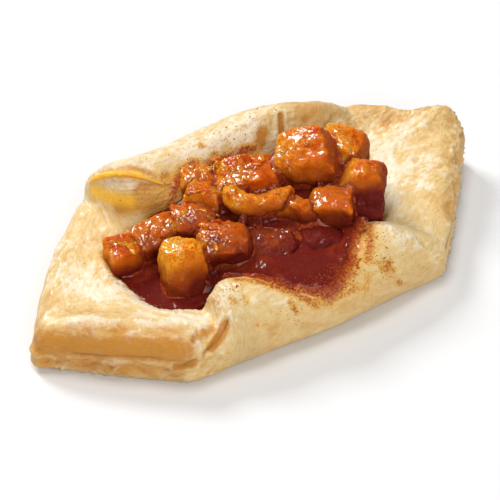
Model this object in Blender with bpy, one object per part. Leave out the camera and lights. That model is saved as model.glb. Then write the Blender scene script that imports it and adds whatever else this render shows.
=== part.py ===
"""Fruit danish: a square of laminated dough, its near and far corners folded in over a syrupy fruit filling.

Metres, +Z up. X runs from the left tip to the right tip, and the near fold lies on the -Y side.
The origin is on the table, under the middle of the pastry.
"""

import math
from dataclasses import dataclass

import bmesh
import bpy
import numpy as np
from mathutils import Matrix, Vector, noise
from mathutils.bvhtree import BVHTree

MM = 0.001

# The baked square from above: two tips that stay flat, and the cut edges from each tip to the two folds.
HALF_LENGTH = 67.5 * MM
LEFT_TIP_Y, RIGHT_TIP_Y = -0.5 * MM, 1.0 * MM
LEFT_NEAR_LEG, LEFT_FAR_LEG = 38.5 * MM, 51.0 * MM
RIGHT_NEAR_LEG, RIGHT_FAR_LEG = 50.0 * MM, 31.5 * MM
LEG_ANGLE = math.radians(45.0)
LEG_SKEW = math.radians(-1.0)

# The open middle, where the filling lies.
WELL_CENTRE = -3.5 * MM
WELL_HALF_LENGTH, WELL_NEAR_WIDTH, WELL_FAR_WIDTH = 36.8 * MM, 21.8 * MM, 19.5 * MM
WELL_SQUARENESS = 2.6
WELL_FOOT, WELL_LIP = 0.84, 1.06
WELL_FLOOR = 4.5 * MM
RIM_HEIGHT = 12.5 * MM
RIGHT_DIP, RIGHT_RISE = 1.5 * MM, 3.5 * MM
TIP_DROP, TIP_REACH = 3.5 * MM, 9.0 * MM

# The crust's puffs: how often they come in a metre, and how far they rise.
SHEET_PUFFS, SHEET_PUFF = 90, 0.9 * MM
FLAP_PUFFS, FLAP_PUFF = 80, 1.1 * MM
RAGS, RAG = 320, 0.8

# The sheet's six corners are rounded, and its sides bow out. Under a folded corner it is set in.
CORNER_RADII = (3, 9, 6, 4, 6, 6)
NEAR_BOW, FAR_BOW, LEFT_FAR_BOW, CUT_BOW = 2.8 * MM, 4.4 * MM, 1.8 * MM, 0.5 * MM
FOLD_INSET = 2.5 * MM

# The mesh.
RIM_STEPS = 76
ARC_POINTS, SIDE_POINTS = 8, 24
FLAP_STEPS, ROLL_STEPS, SLOPE_STEPS = 28, 6, 5
END_SHARPNESS, SLANT_FADE = 3, 4
STILL = 6.0 * MM
GAP = 0.35 * MM


def clear_scene():
    for obj in list(bpy.data.objects):
        bpy.data.objects.remove(obj)


def smooth(low, high, value):
    """0 below low, 1 above high, and an S curve between."""
    share = min(1.0, max(0.0, (value - low) / (high - low)))
    return share * share * (3.0 - 2.0 * share)


def material(name, colour, roughness):
    made = bpy.data.materials.new(name)
    made.use_nodes = True
    shader = made.node_tree.nodes["Principled BSDF"]
    shader.inputs["Base Color"].default_value = (*colour, 1.0)
    shader.inputs["Roughness"].default_value = roughness
    shader.inputs["Metallic"].default_value = 0.0
    return made


def closed_mesh(name, rings):
    """An object skinned over rings of equally many points, closed by a fan at each end."""
    count = len(rings[0])
    points = [Vector(p) for ring in rings for p in ring]
    faces = [
        (r * count + i, r * count + (i + 1) % count, (r + 1) * count + (i + 1) % count, (r + 1) * count + i)
        for r in range(len(rings) - 1)
        for i in range(count)
    ]
    for ring, start, order in ((rings[0], 0, -1), (rings[-1], (len(rings) - 1) * count, 1)):
        points.append(sum((Vector(p) for p in ring), Vector()) / count)
        hub = len(points) - 1
        faces += [(hub, start + i, start + (i + 1) % count)[::order] for i in range(count)]
    mesh = bpy.data.meshes.new(name)
    mesh.from_pydata(points, [], faces)
    shaped = bmesh.new()
    shaped.from_mesh(mesh)
    bmesh.ops.remove_doubles(shaped, verts=shaped.verts, dist=0.01 * MM)
    bmesh.ops.triangulate(shaped, faces=shaped.faces)
    bmesh.ops.recalc_face_normals(shaped, faces=shaped.faces)
    shaped.to_mesh(mesh)
    shaped.free()
    made = bpy.data.objects.new(name, mesh)
    bpy.context.scene.collection.objects.link(made)
    return made


# ---------------------------------------------------------------- the flat sheet


def from_tip(tip, heading, length):
    return tip + Vector((math.cos(heading), math.sin(heading))) * length


def sheet_corners():
    """The six corners of the folded sheet, anticlockwise from the left tip."""
    left, right = Vector((-HALF_LENGTH, LEFT_TIP_Y)), Vector((HALF_LENGTH, RIGHT_TIP_Y))
    return [
        left,
        from_tip(left, -LEG_ANGLE + LEG_SKEW, LEFT_NEAR_LEG),
        from_tip(right, math.pi + LEG_ANGLE + LEG_SKEW, RIGHT_NEAR_LEG),
        right,
        from_tip(right, math.pi - LEG_ANGLE + LEG_SKEW, RIGHT_FAR_LEG),
        from_tip(left, LEG_ANGLE + LEG_SKEW, LEFT_FAR_LEG),
    ]


def rounded_outline(corners, radii, bows):
    """A dense closed outline: corners rounded to their radii, and each side after a corner bowed out."""
    starts, ends = [], []
    for i, corner in enumerate(corners):
        back = (corners[i - 1] - corner).normalized()
        ahead = (corners[(i + 1) % len(corners)] - corner).normalized()
        reach = radii[i] / math.tan(back.angle(ahead) / 2)
        starts.append(corner + back * reach)
        ends.append(corner + ahead * reach)
    points = []
    for i, corner in enumerate(corners):
        for step in range(ARC_POINTS):
            t = step / ARC_POINTS
            points.append(starts[i] * (1 - t) ** 2 + corner * 2 * t * (1 - t) + ends[i] * t * t)
        side = starts[(i + 1) % len(corners)] - ends[i]
        out = Vector((side.y, -side.x)).normalized()
        for step in range(SIDE_POINTS - ARC_POINTS):
            t = step / (SIDE_POINTS - ARC_POINTS)
            points.append(ends[i] + side * t + out * bows[i] * math.sin(math.pi * t))
    return points


def evenly(points, count):
    """The closed outline resampled to count points, with the outward normal at each."""
    loop = np.array([*points, points[0]])
    run = np.concatenate([[0], np.cumsum(np.linalg.norm(np.diff(loop, axis=0), axis=1))])
    at = np.linspace(0, run[-1], count, endpoint=False)
    even = np.stack([np.interp(at, run, loop[:, k]) for k in range(2)], axis=1)
    along = np.roll(even, -1, axis=0) - np.roll(even, 1, axis=0)
    along /= np.linalg.norm(along, axis=1)[:, None]
    return [(Vector(p), Vector((t[1], -t[0]))) for p, t in zip(even, along)]


def to_segment(point, start, end):
    """The distance from a point to a straight line between two others, in plan."""
    side = end - start
    share = min(1.0, max(0.0, (point - start).dot(side) / side.length_squared))
    return (point - start - side * share).length


# Ridges and hollows of the two flat corners: start, end, half width and height, in millimetres.
FOLDS = (
    ((-60, -3), (-41, -21), 4.5, 2.2),
    ((-62, 3), (-34, 30), 5.0, 0.6),
    ((-50, 8), (-38, 18), 3.0, -0.8),
    ((-26, 33), (-10, 19), 3.5, -3.6),
    ((-31, 28), (-14, 17), 2.5, 1.0),
    ((62, 3), (37, 5), 3.0, 2.0),
    ((60, -6), (42, -2), 2.6, 1.0),
    ((56, -11), (40, -8), 2.4, 1.0),
    ((52, -15), (36, -13), 2.4, 0.8),
    ((54, 10), (36, 13), 4.5, -2.0),
    ((60, 7), (44, 22), 4.5, 2.6),
)


def well_share(point):
    """1 on the rim of the well, less inside it and more outside it."""
    x = abs(point.x - WELL_CENTRE) / WELL_HALF_LENGTH
    y = abs(point.y) / (WELL_NEAR_WIDTH if point.y < 0 else WELL_FAR_WIDTH)
    return (x**WELL_SQUARENESS + y**WELL_SQUARENESS) ** (1 / WELL_SQUARENESS)


def crossing(start, end, share):
    """How far along a line from the crust to the well's middle the given share of the well is reached."""
    low, high = 0.0, 1.0
    for _ in range(20):
        middle = (low + high) / 2
        low, high = (middle, high) if well_share(start.lerp(end, middle)) > share else (low, middle)
    return low


def sheet_top(point):
    """The height of the flat sheet's upper crust."""
    rim = RIM_HEIGHT - RIGHT_DIP * smooth(20 * MM, 34 * MM, point.x)
    rim += RIGHT_RISE * smooth(34 * MM, 56 * MM, point.x)
    height = WELL_FLOOR + (rim - WELL_FLOOR) * smooth(WELL_FOOT, WELL_LIP, well_share(point))
    height -= TIP_DROP * math.exp(-(point - Vector((-HALF_LENGTH, LEFT_TIP_Y))).length / TIP_REACH)
    for start, end, width, rise in FOLDS:
        off = to_segment(point, Vector(start) * MM, Vector(end) * MM) / (width * MM)
        height += rise * MM * math.exp(-off * off)
    return height + noise.noise(Vector((point.x, point.y, 0)) * SHEET_PUFFS) * SHEET_PUFF


# The cut side from the table up: how far out of the outline it stands, in millimetres, and its share of
# the crust's height.
CUT_SIDE = (
    (-5.0, 0.0),
    (-1.4, 0.02),
    (-0.4, 0.10),
    (0.1, 0.22),
    (-0.9, 0.31),
    (0.3, 0.40),
    (-0.5, 0.49),
    (0.6, 0.60),
    (0.4, 0.72),
)
SHOULDER_STEPS = ((0.12, 0.84), (0.45, 0.94))
SOFT_SHOULDER, CRISP_SHOULDER = 5.2 * MM, 1.8 * MM
CRUST_RINGS = (0.0, 0.2, 0.4, 0.6, 0.8, 1.0)
WELL_RINGS = (0.33, 0.67, 1.0)
FLOOR_RING = 0.9
SPINE_HALF = 30.0 * MM


def sheet_outline(inset):
    """The rounded outline, with its two folded sides set in."""
    near, far = NEAR_BOW - inset, FAR_BOW - inset
    bows = (CUT_BOW, near, CUT_BOW, 0.0, far, LEFT_FAR_BOW)
    return rounded_outline(sheet_corners(), [r * MM for r in CORNER_RADII], bows)


def base_sheet():
    """The sheet that lies flat: layered cut sides, two tips and the well's floor."""
    rim = evenly(sheet_outline(FOLD_INSET), RIM_STEPS)
    rings = [[] for _ in (*CUT_SIDE, *SHOULDER_STEPS, *CRUST_RINGS, *WELL_RINGS, FLOOR_RING)]
    for point, out in rim:
        crisp = smooth(0.2, 0.9, out.x + out.y) * smooth(0.0, 0.3, out.y) * smooth(30 * MM, 42 * MM, point.x)
        round_off = SOFT_SHOULDER + (CRISP_SHOULDER - SOFT_SHOULDER) * crisp
        shoulder = point - out * round_off
        spine = Vector((min(SPINE_HALF, max(-SPINE_HALF, shoulder.x)), 0.0))
        rim_height = sheet_top(shoulder)
        column = []
        for offset, share in CUT_SIDE:
            ragged = noise.noise(Vector((point.x, point.y, share * 0.02)) * RAGS) * RAG * share
            column.append((point + out * (offset + ragged) * MM, share * rim_height))
        for inward, share in SHOULDER_STEPS:
            column.append((point - out * round_off * inward, share * rim_height))
        lip, foot = crossing(shoulder, spine, WELL_LIP), crossing(shoulder, spine, WELL_FOOT)
        inward = [lip * t for t in CRUST_RINGS]
        inward += [lip + (foot - lip) * t for t in WELL_RINGS]
        inward.append(foot + (1 - foot) * FLOOR_RING)
        column += [(shoulder.lerp(spine, t), sheet_top(shoulder.lerp(spine, t))) for t in inward]
        for ring, (place, height) in zip(rings, column):
            ring.append((place.x, place.y, height))
    return closed_mesh("base_sheet", rings)


# ---------------------------------------------------------------- the folded corners

# A folded corner touches the table inside its fold, and its roll is widest at this share of its height.
UNDERCUT = 5.0 * MM
ROLL_MIDDLE = 0.42


def between(stops, share):
    """A smooth curve through evenly spaced values, read at a share of its length."""
    place = min(max(share, 0.0), 1.0) * (len(stops) - 1)
    i = min(int(place), len(stops) - 2)
    t = place - i
    low, high = stops[max(i - 1, 0)], stops[min(i + 2, len(stops) - 1)]
    first, last = stops[i], stops[i + 1]
    rise_in, rise_out = (last - low) / 2, (high - first) / 2
    bend = (2 * first - 2 * last + rise_in + rise_out) * t + (3 * last - 3 * first - 2 * rise_in - rise_out)
    return first + rise_in * t + bend * t * t


@dataclass
class Flap:
    """A corner of the square folded in: it rolls round its fold, rises to a crest and falls to the filling.

    crests, toes and rolls are in millimetres, evenly spaced along the fold: the heights of the crest and
    of the toe, and how far the crest lies inside the fold.
    cuts are the angles, in degrees, between the fold and the two cut edges. blunt is how far in from each
    corner the flap starts, fall the share of its height that it loses there, and slant how far its first end
    leans over. layers are the steps down its cut edge: how far each stands out, and its share of the toe's
    height.
    """

    name: str
    corner: int
    crests: tuple
    toes: tuple
    cuts: tuple
    blunt: tuple
    fall: tuple
    slant: float
    rolls: tuple
    reach_limit: float
    layers: tuple

    def build(self, outline):
        corners = sheet_corners()
        start, end = corners[self.corner], corners[(self.corner + 1) % len(corners)]
        along = (end - start).normalized()
        inward = Vector((-along.y, along.x))
        length = (end - start).length
        mid_arc = ARC_POINTS // 2
        fold = outline[SIDE_POINTS * self.corner + mid_arc : SIDE_POINTS * (self.corner + 1) + mid_arc + 1]
        foot_line = [[(p - start).dot(axis) for p in fold] for axis in (along, inward)]
        rings = []
        for step in range(FLAP_STEPS + 1):
            turn = math.pi * step / FLAP_STEPS
            share = 0.5 - 0.5 * math.cos(turn)
            s = self.blunt[0] * MM + (length - (self.blunt[0] + self.blunt[1]) * MM) * share
            shrink = 1 - self.fall[step * 2 > FLAP_STEPS] * (1 - math.sin(turn)) ** END_SHARPNESS
            ring = []
            section = self.section(s, length)
            crest = max(z for _, z in section)
            for w, z in section:
                at = s - self.slant * MM * (1 - z / crest) * (1 - share) ** SLANT_FADE
                out = float(np.interp(at, *foot_line))
                place = start + along * at + inward * (out + w)
                puff = noise.noise(Vector((place.x, place.y, z)) * FLAP_PUFFS) * FLAP_PUFF * min(1, z / STILL)
                place = place - inward * puff
                ring.append((place.x, place.y, (z + puff) * shrink))
            rings.append(ring)
        return closed_mesh(self.name, rings)

    def section(self, s, length):
        """The closed section across the fold: round the roll, over the crest and down the cut edge."""
        first, last = (math.tan(math.radians(cut)) for cut in self.cuts)
        full = min(s * first, (length - s) * last)
        reach = self.reach_limit * math.tanh(full / self.reach_limit) + 3 * MM
        crest = between(self.crests, s / length) * MM
        toe = between(self.toes, s / length) * MM
        low = min(UNDERCUT, 0.5 * reach)
        roll = min(between(self.rolls, s / length) * MM, 0.65 * reach)
        half = ROLL_MIDDLE * crest
        points = []
        for step in range(ROLL_STEPS):
            turn = math.pi / 2 * step / ROLL_STEPS
            points.append((low * (1 - math.sin(turn)), half * (1 - math.cos(turn))))
        for step in range(ROLL_STEPS + 1):
            turn = math.pi / 2 * step / ROLL_STEPS
            points.append((roll * (1 - math.cos(turn)), half + (crest - half) * math.sin(turn)))
        drop = smooth(0, 0.7 * self.reach_limit, reach - roll)
        toe = crest - (crest - toe) * drop
        for step in range(1, SLOPE_STEPS + 1):
            t = step / SLOPE_STEPS
            points.append((roll + (reach - roll) * t, crest + (toe - crest) * smooth(0, 1, t)))
        for offset, share in self.layers:
            points.append((max(reach + offset * MM, 0.5 * reach), toe * share))
        return points


def joined(name, pieces, finish):
    """One solid of overlapping pieces, by a Boolean union that is applied."""
    group = bpy.data.collections.new(name + "_pieces")
    bpy.context.scene.collection.children.link(group)
    first, *others = pieces
    for other in others:
        bpy.context.scene.collection.objects.unlink(other)
        group.objects.link(other)
    union = first.modifiers.new("join", "BOOLEAN")
    union.operation, union.solver = "UNION", "MANIFOLD"
    union.operand_type, union.collection = "COLLECTION", group
    applied(first)
    for other in others:
        bpy.data.objects.remove(other)
    bpy.data.collections.remove(group)
    first.name = first.data.name = name
    first.data.materials.clear()
    first.data.materials.append(finish)
    return first


def applied(obj):
    """Replaces the mesh by what its modifiers make of it."""
    graph = bpy.context.evaluated_depsgraph_get()
    graph.update()
    old = obj.data
    obj.data = bpy.data.meshes.new_from_object(obj.evaluated_get(graph))
    obj.modifiers.clear()
    bpy.data.meshes.remove(old)


def pastry():
    outline = sheet_outline(0.0)
    near = Flap(
        name="near_flap",
        corner=1,
        crests=(13, 16.5, 18.5, 17, 15.5, 15.8, 17.8, 15.5, 12),
        toes=(14, 15, 13, 9, 8, 8, 11, 13, 11),
        cuts=(40, 52),
        blunt=(11, -1),
        fall=(0.10, 0.20),
        slant=9,
        rolls=(10, 10.8, 10.6, 7.0, 4.8, 6.0, 9.6, 8.8, 7),
        reach_limit=19.5 * MM,
        layers=((0.5, 0.92), (-0.8, 0.75), (-1.2, 0.0)),
    )
    far = Flap(
        name="far_flap",
        corner=4,
        crests=(16, 21.5, 24.5, 24.5, 23.5, 22.5, 22, 22.5, 22.5),
        toes=(14, 13, 12, 12, 12, 13, 17, 21, 22),
        cuts=(40, 42),
        blunt=(1, 1),
        fall=(0.25, 0.26),
        slant=0,
        rolls=(7, 8, 9, 9, 9, 8, 7, 6, 5),
        reach_limit=20 * MM,
        layers=(
            (0.5, 0.99), (0.3, 0.965), (-1.8, 0.95), (-1.8, 0.92), (0.4, 0.905), (1.6, 0.86), (2.4, 0.79),
            (2.9, 0.69), (3.1, 0.58), (2.9, 0.46), (2.4, 0.3), (2.0, 0.0),
        ),
    )
    crust = material("crust", (0.80, 0.60, 0.33), 0.55)
    return joined("pastry", [base_sheet(), near.build(outline), far.build(outline)], crust)


# ---------------------------------------------------------------- the filling


@dataclass
class Chunk:
    """A piece of cooked fruit: its middle and size in millimetres, and its turns and bend in degrees.

    rough is how dented it is, and taper how much wider it is at the top than in the middle.
    """

    middle: tuple
    size: tuple
    turn: float = 0.0
    lean: float = 0.0
    roll: float = 0.0
    bend: float = 0.0
    rough: float = 0.5
    taper: float = 0.0


CHUNKS = (
    Chunk((-35.2, 8.4, 12.3), (7.8, 8.2, 9.5), turn=-15, lean=5, rough=0.8),
    Chunk((-25.3, 9.0, 13.1), (15, 9, 8), turn=2, lean=12, roll=-4, rough=0.8),
    Chunk((-16.4, 5.0, 15.4), (10, 8.5, 8), turn=-22, lean=8, rough=0.9),
    Chunk((-15.7, -5.4, 15.0), (13, 11, 11), turn=-34, lean=14, rough=0.8),
    Chunk((-26.9, -5.6, 14.0), (10.8, 7.5, 14), turn=-28, lean=-26, roll=5, taper=0.13),
    Chunk((-10.4, 9.4, 17.5), (8.5, 8, 9), turn=-50, lean=-8, rough=0.8),
    Chunk((-2.8, -2.0, 19.5), (18, 6, 4.5), turn=-36, lean=-38, bend=95, rough=0.3),
    Chunk((1.4, 7.4, 19.5), (14, 10, 9), turn=-28, lean=10, rough=1.4),
    Chunk((4.3, -7.6, 19.5), (12, 4.5, 4.5), turn=-58, lean=-8, bend=-80, rough=0.3),
    Chunk((12.3, -12.4, 18.3), (11, 9, 9), turn=-42, lean=6, rough=0.6),
    Chunk((16.0, 2.6, 23.0), (15.5, 13, 12), turn=-38, lean=20, roll=-20, rough=0.5, taper=-0.06),
    Chunk((26.1, 1.5, 21.0), (12, 11, 10.5), turn=-55, lean=4, roll=10, taper=-0.14),
    Chunk((22.8, -10.6, 18.6), (12.0, 11.5, 14.5), turn=-42, lean=-8, roll=14, taper=-0.26),
    Chunk((-5.8, -10.6, 12.8), (15, 9.5, 8.5), turn=-44, lean=12, roll=-6, rough=0.6),
    Chunk((7.0, -17.0, 12.4), (14, 11, 8), turn=-14, lean=-6, roll=6, rough=0.6),
    Chunk((-6.9, 17.0, 17.8), (9, 7, 5.5), turn=-30, lean=14, rough=0.5),
    Chunk((-0.9, 14.2, 18.6), (6.5, 5, 5), turn=-50, lean=12, rough=0.8),
)
CHUNK_CUTS = 2
CHUNK_SQUARENESS = 5.0
PULLS, PULL = 0.7, 0.26
DENTS, DENT = 2.2, 0.18


def uneven(place):
    """A smoothly varying vector, the same each time for the same place."""
    shifts = (Vector((0.0, 0.0, 0.0)), Vector((9.3, 4.1, 7.7)), Vector((3.9, 8.2, 1.6)))
    return Vector([noise.noise(place + shift) for shift in shifts])


def fruit_chunk(name, chunk, finish):
    """A cube with softened edges, pulled corners and dents, bent along its length and set in its place."""
    shaped = bmesh.new()
    bmesh.ops.create_cube(shaped, size=2.0)
    bmesh.ops.subdivide_edges(shaped, edges=shaped.edges, cuts=CHUNK_CUTS, use_grid_fill=True)
    if chunk.bend:
        across = [e for e in shaped.edges if abs(e.verts[0].co.x - e.verts[1].co.x) > 0.1]
        bmesh.ops.subdivide_edges(shaped, edges=across, cuts=1)
    seed = Vector(chunk.middle)
    place = Matrix.Translation(Vector(chunk.middle) * MM)
    place @= Matrix.Rotation(math.radians(chunk.turn), 4, "Z")
    place @= Matrix.Rotation(math.radians(chunk.lean), 4, "X")
    place @= Matrix.Rotation(math.radians(chunk.roll), 4, "Y")
    half = Vector(chunk.size) * MM / 2
    for vert in shaped.verts:
        span = sum(abs(c) ** CHUNK_SQUARENESS for c in vert.co) ** (1 / CHUNK_SQUARENESS)
        round_off = vert.co / span
        pulled = round_off + uneven(round_off * PULLS + seed) * PULL
        pulled += uneven(round_off * DENTS + seed) * DENT * chunk.rough
        point = Vector(p * h for p, h in zip(pulled, half))
        point.x *= 1 + chunk.taper * pulled.z
        point.y *= 1 + chunk.taper * pulled.z
        if chunk.bend:
            radius = chunk.size[0] * MM / math.radians(chunk.bend)
            angle = point.x / radius
            point.x = (radius - point.z) * math.sin(angle)
            point.z = radius - (radius - point.z) * math.cos(angle)
        vert.co = place @ point
    bmesh.ops.triangulate(shaped, faces=shaped.faces)
    mesh = bpy.data.meshes.new(name)
    shaped.to_mesh(mesh)
    shaped.free()
    mesh.materials.append(finish)
    made = bpy.data.objects.new(name, mesh)
    bpy.context.scene.collection.objects.link(made)
    return made


def cutter_round(obj):
    """A copy that stands the gap proud of the object, to cut its neighbours with."""
    cutter = bpy.data.objects.new(obj.name + "_cutter", obj.data.copy())
    bpy.context.scene.collection.objects.link(cutter)
    normals = [Vector(n.vector) for n in cutter.data.vertex_normals]
    for vert, normal in zip(cutter.data.vertices, normals):
        vert.co += normal * GAP
    return cutter


def near_each_other(first, second):
    """Whether the boxes round two objects meet."""
    boxes = [np.array([v.co for v in obj.data.vertices]) for obj in (first, second)]
    return bool(np.all(boxes[0].min(0) < boxes[1].max(0)) and np.all(boxes[1].min(0) < boxes[0].max(0)))


def keep_largest(obj):
    """Deletes every loose scrap but the largest body."""
    shaped = bmesh.new()
    shaped.from_mesh(obj.data)
    left, bodies = set(shaped.verts), []
    while left:
        body, front = set(), [left.pop()]
        while front:
            vert = front.pop()
            body.add(vert)
            new = {edge.other_vert(vert) for edge in vert.link_edges} & left
            left -= new
            front += new
        bodies.append(body)
    bodies.sort(key=len)
    bmesh.ops.delete(shaped, geom=[v for body in bodies[:-1] for v in body], context="VERTS")
    shaped.to_mesh(obj.data)
    shaped.free()


def carve(obj, cutters):
    """Cuts away what each cutter meets of the object, and leaves it one body."""
    for cutter in cutters:
        if not near_each_other(obj, cutter):
            continue
        cut = obj.modifiers.new("carve", "BOOLEAN")
        cut.operation, cut.solver, cut.object = "DIFFERENCE", "MANIFOLD", cutter
        applied(obj)
    keep_largest(obj)


# The syrup's level: low at the left, high in the middle, with a mound under the tallest fruit.
LOW_LEVEL, HIGH_LEVEL = 9.5 * MM, 15.8 * MM
MOUND, MOUND_PLACE, MOUND_REACH = 3.2 * MM, (18.0, -1.0), 10.0
FILM = 1.45 * MM
RIGHT_FALL = 0.7
POOL_LEFT, POOL_RIGHT, POOL_FAR = -43.0 * MM, 27.0 * MM, 21.0 * MM
POOL_STEPS_ALONG, POOL_STEPS_ACROSS = 24, 10
SPILL_FROM = -15.0 * MM


def pool_level(x, y):
    """The height of the syrup, before it meets the pastry."""
    mound = math.exp(-(math.dist((x / MM, y / MM), MOUND_PLACE) / MOUND_REACH) ** 2)
    high = smooth(-27 * MM, -9 * MM, x) - RIGHT_FALL * smooth(14 * MM, POOL_RIGHT, x)
    return LOW_LEVEL + (HIGH_LEVEL - LOW_LEVEL) * high + MOUND * mound


def pool_edge(x):
    """The near edge of the syrup: it spills over the saddle in the middle of the near fold."""
    return -(14 + 18.3 * math.exp(-abs((x / MM + 0.5) / 17) ** 3.2)) * MM


def syrup(crust, cutters):
    """The pool between the folds, cut round the pastry and the fruit."""
    mesh = crust.data
    top = BVHTree.FromPolygons([v.co for v in mesh.vertices], [p.vertices for p in mesh.polygons])
    rings = []
    for step in range(POOL_STEPS_ALONG + 1):
        x = POOL_LEFT + (POOL_RIGHT - POOL_LEFT) * step / POOL_STEPS_ALONG
        edge = pool_edge(x)
        ring = []
        for across in range(POOL_STEPS_ACROSS + 1):
            y = edge + (POOL_FAR - edge) * across / POOL_STEPS_ACROSS
            z = pool_level(x, y)
            if y < SPILL_FROM:
                hit = top.ray_cast(Vector((x, y, 0.1)), Vector((0, 0, -1)))[0]
                z = max(z, hit.z + FILM)
            ring.append((x, y, z))
        ring += [(x, POOL_FAR, WELL_FLOOR / 2), (x, edge, WELL_FLOOR / 2)]
        rings.append(ring)
    pool = closed_mesh("syrup", rings)
    pool.data.materials.append(material("syrup", (0.25, 0.03, 0.015), 0.1))
    carve(pool, cutters)


def main():
    clear_scene()
    crust = pastry()
    flesh = material("fruit", (0.62, 0.20, 0.04), 0.25)
    fruit = []
    for number, chunk in enumerate(CHUNKS, start=1):
        fruit.append(fruit_chunk(f"fruit_chunk_{number:02d}", chunk, flesh))
    cutters = [cutter_round(piece) for piece in (crust, *fruit)]
    for number, piece in enumerate(fruit, start=1):
        carve(piece, cutters[:number])
    syrup(crust, cutters)
    for cutter in cutters:
        bpy.data.objects.remove(cutter)


main()
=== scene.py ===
"""Fruit danish: laminated dough folded over spiced syrup and cooked fruit, with its spice and stage."""

import math
import random

import bpy
import numpy as np
from mathutils import Matrix, Vector, noise
from mathutils.bvhtree import BVHTree


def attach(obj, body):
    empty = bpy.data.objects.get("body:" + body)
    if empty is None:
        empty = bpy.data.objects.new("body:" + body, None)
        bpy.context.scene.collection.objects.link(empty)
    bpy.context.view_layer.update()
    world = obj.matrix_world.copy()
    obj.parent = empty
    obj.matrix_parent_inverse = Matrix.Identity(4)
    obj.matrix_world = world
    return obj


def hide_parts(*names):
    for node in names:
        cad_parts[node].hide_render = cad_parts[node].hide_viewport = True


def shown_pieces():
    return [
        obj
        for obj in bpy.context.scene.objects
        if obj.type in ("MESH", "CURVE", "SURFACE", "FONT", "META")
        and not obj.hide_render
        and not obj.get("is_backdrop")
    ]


bl_info = {
    "name": "Fruit danish",
    "version": (1, 0, 0),
    "blender": (4, 5, 0),
    "location": "3D View > Sidebar > Danish",
    "description": "Builds a fruit danish over its solids, piece by piece",
    "category": "Object",
}

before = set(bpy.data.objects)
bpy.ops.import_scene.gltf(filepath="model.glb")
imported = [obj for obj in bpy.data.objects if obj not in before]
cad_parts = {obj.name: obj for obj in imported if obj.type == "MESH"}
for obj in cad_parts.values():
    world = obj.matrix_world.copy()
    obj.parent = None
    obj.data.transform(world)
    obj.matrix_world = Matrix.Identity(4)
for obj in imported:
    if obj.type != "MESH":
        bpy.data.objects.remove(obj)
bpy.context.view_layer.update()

# Every place in a table is in millimetres: x runs to the right tip, y to the far fold, and z up. Blender
# works in metres, and MM turns the first into the second.
MM = 0.001
FRUIT_NODES = sorted(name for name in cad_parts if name.startswith("fruit_chunk_"))

# The camera: round from the front, up from the floor, its distance in metres, what it looks at, and its lens.
VIEW_AZIMUTH, VIEW_ELEVATION = math.radians(-36.5), math.radians(40.0)
VIEW_DISTANCE = 0.56
VIEW_AIM = Vector((-1.309, 2.749, 1.706)) * MM
VIEW_LENS, VIEW_SENSOR = 161.28, 36.0


# ---------------------------------------------------------------- sizes and colours


def colour(name, description, value):
    """A colour that can be set in the panel."""
    return bpy.props.FloatVectorProperty(
        name=name, description=description, default=value, subtype="COLOR", size=3, min=0.0, max=1.0
    )


def length(name, description, value):
    """A length in metres that can be set in the panel."""
    return bpy.props.FloatProperty(
        name=name, description=description, default=value, unit="LENGTH", precision=5
    )


def count(name, description, value):
    """A whole number that can be set in the panel."""
    return bpy.props.IntProperty(name=name, description=description, default=value, min=0)


def power(name, description, value):
    """A strength of light that can be set in the panel."""
    return bpy.props.FloatProperty(name=name, description=description, default=value, min=0.0)


class CrustSettings(bpy.types.PropertyGroup):
    """Sizes and colours of the baked dough."""

    grid: length("Skin grid", "Spacing of the skin's mesh", 0.52 * MM)
    butter_grid: length("Butter grid", "Spacing of the moist layer's mesh", 0.15 * MM)
    puff: length("Puff", "Height of the soft bubbles under the skin", 0.32 * MM)
    wrinkle: length("Wrinkle", "Height of the papery wrinkles", 0.42 * MM)
    layer: length("Layer", "Thickness of a baked layer on the cut sides", 2.3 * MM)
    layer_depth: length("Layer depth", "Depth of the gaps between the baked layers", 0.45 * MM)
    terrace: length("Terrace", "Height of the steps where the skin flakes off in sheets", 0.2 * MM)
    pale: colour("Pale", "Skin that has hardly browned", (0.87, 0.74, 0.53))
    cream: colour("Cream", "Most of the skin", (0.765, 0.54, 0.235))
    golden: colour("Golden", "Skin that is baked golden", (0.545, 0.218, 0.012))
    brown: colour("Brown", "The darkest edges and cracks", (0.40, 0.16, 0.035))
    # Brightened beyond the moist dough's own colour: painted light for the slit and the hollow under the lip,
    # which lie in shade.
    butter_and_glow: colour("Butter", "Moist inner layers in the slit and under the lip", (1.0, 0.56, 0.045))


class FillingSettings(bpy.types.PropertyGroup):
    """Sizes and colours of the fruit, the syrup and the spice."""

    grid: length("Grid", "Spacing of the syrup's and the sauce's mesh", 0.45 * MM)
    fruit_grid: length("Fruit grid", "Spacing of the fruit's mesh", 0.32 * MM)
    pulp_grid: length("Pulp grid", "Spacing of the mashed fruit's mesh", 0.25 * MM)
    meniscus: length("Meniscus", "How far the syrup climbs what it touches", 0.55 * MM)
    web: length("Sauce web", "How wide a crease between two pieces the sauce fills", 1.3 * MM)
    lumps: count("Lumps", "How many lumps of mashed fruit", 150)
    grains: count("Grains", "How many grains of spice", 2600)
    deep: colour("Deep syrup", "Syrup where it is deep", (0.13, 0.010, 0.007))
    thin: colour("Thin syrup", "Syrup where it is thin", (0.40, 0.060, 0.012))
    stain: colour("Stain", "Dough that the syrup has soaked", (0.58, 0.22, 0.03))
    faint: colour("Faint stain", "Dough that the syrup has only reached", (0.72, 0.42, 0.10))
    honey: colour("Honey", "The palest flesh of the fruit", (0.86, 0.46, 0.045))
    gold: colour("Gold fruit", "Bare fruit flesh", (0.80, 0.34, 0.014))
    amber: colour("Amber fruit", "Fruit flesh that has taken up syrup", (0.64, 0.165, 0.006))
    red: colour("Red fruit", "Fruit under a coat of syrup", (0.46, 0.052, 0.004))
    soaked: colour("Soaked fruit", "Fruit flesh just above the pool", (0.29, 0.045, 0.006))
    spice: colour("Spice", "Ground spice", (0.36, 0.095, 0.018))


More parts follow.
